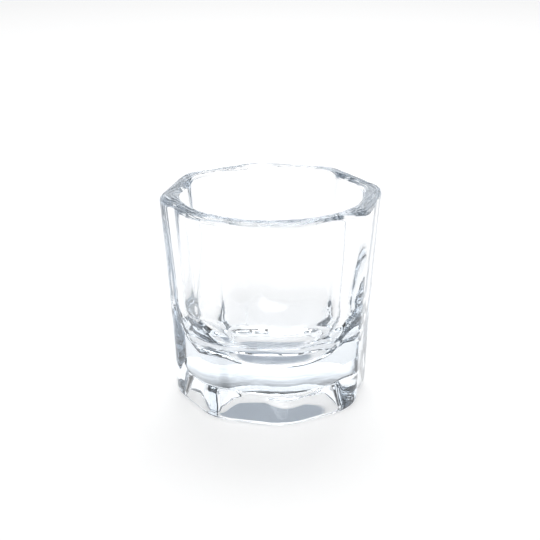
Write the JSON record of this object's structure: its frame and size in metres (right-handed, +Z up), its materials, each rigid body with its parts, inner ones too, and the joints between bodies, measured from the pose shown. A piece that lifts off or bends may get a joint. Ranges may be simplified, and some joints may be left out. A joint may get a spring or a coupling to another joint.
{
  "type": "glass dappen cup",
  "caption": "Small octagonal pressed-glass cup with a soft-sided well, a fire-polished rim and an eight-sided recess under its thick base.",
  "frame": {"origin": "centre of the foot ring, in the plane the cup stands on", "axes": "+Z up along the cup's axis; +X, +Y, -X and -Y are the outward directions of four of its eight flat faces"},
  "size_m": [0.0296, 0.0296, 0.03],
  "materials": {
    "clear_glass": "fire-polished, water-clear with a faint cool tint"
  },
  "bodies": {
    "root": {"glass_cup": "clear_glass"}
  },
  "joints": []
}
